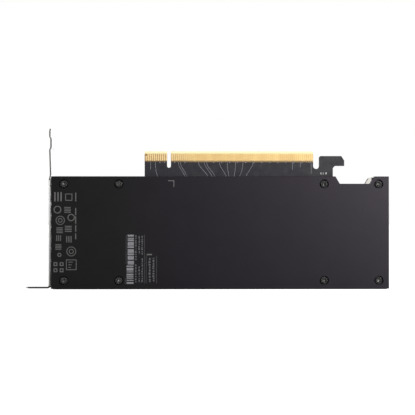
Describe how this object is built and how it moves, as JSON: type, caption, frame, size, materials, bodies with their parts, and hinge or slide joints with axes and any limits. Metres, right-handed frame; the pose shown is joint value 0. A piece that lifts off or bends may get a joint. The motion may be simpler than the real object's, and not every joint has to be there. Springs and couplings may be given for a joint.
{
  "type": "passive accelerator card",
  "caption": "Low-profile single-slot edge-connector card with a full-length backplate, a fan-less finned heat sink in a shroud and a steel slot bracket.",
  "frame": {"origin": "bottom centre of the whole card's bounding box, on the plane of its long rest edge", "axes": "+X from the slot bracket to the far end, +Y from the solder side (backplate) to the component side (shroud), +Z from the rest edge to the edge contacts"},
  "size_m": [0.181, 0.0206, 0.0806],
  "materials": {
    "plate_black": "satin black",
    "shroud_black": "satin black",
    "sink_aluminium": "milled, satin",
    "fin_aluminium": "bare sheet",
    "bracket_steel": "bright nickel plate",
    "board_laminate": "black solder mask",
    "contact_gold": "polished gold plate",
    "substrate_laminate": "green solder mask",
    "silicon": "polished",
    "stiffener_metal": "nickel plate",
    "paste_grey": "matt",
    "pad_blue": "matt",
    "chip_epoxy": "moulded, matt",
    "ferrite_grey": "moulded, matt",
    "polymer_black": "moulded",
    "ceramic_tan": "fired ceramic",
    "crystal_can": "plated lid",
    "film_black": "smooth film",
    "screw_black": "black oxide",
    "standoff_steel": "zinc plate"
  },
  "bodies": {
    "root": {"backplate": "plate_black", "shroud": "shroud_black", "heatsink_base": "sink_aluminium", "heatsink_fins": "fin_aluminium", "io_bracket": "bracket_steel", "circuit_board": "board_laminate", "solder_side_contacts": "contact_gold", "component_side_contacts": "contact_gold", "processor_substrate": "substrate_laminate", "processor_die": "silicon", "stiffener_ring": "stiffener_metal", "thermal_paste": "paste_grey", "memory_chips": "chip_epoxy", "memory_thermal_pads": "pad_blue", "power_stages": "chip_epoxy", "power_stage_thermal_pads": "pad_blue", "power_inductors": "ferrite_grey", "filter_inductor": "ferrite_grey", "polymer_capacitors": "polymer_black", "supply_controller": "chip_epoxy", "management_controller": "chip_epoxy", "firmware_memory_chip": "chip_epoxy", "clock_crystal": "crystal_can", "decoupling_capacitors": "ceramic_tan", "coupling_capacitors": "ceramic_tan", "shroud_standoffs": "standoff_steel", "insulating_film": "film_black", "long_backplate_screws": "screw_black", "short_backplate_screws": "screw_black"}
  },
  "joints": []
}
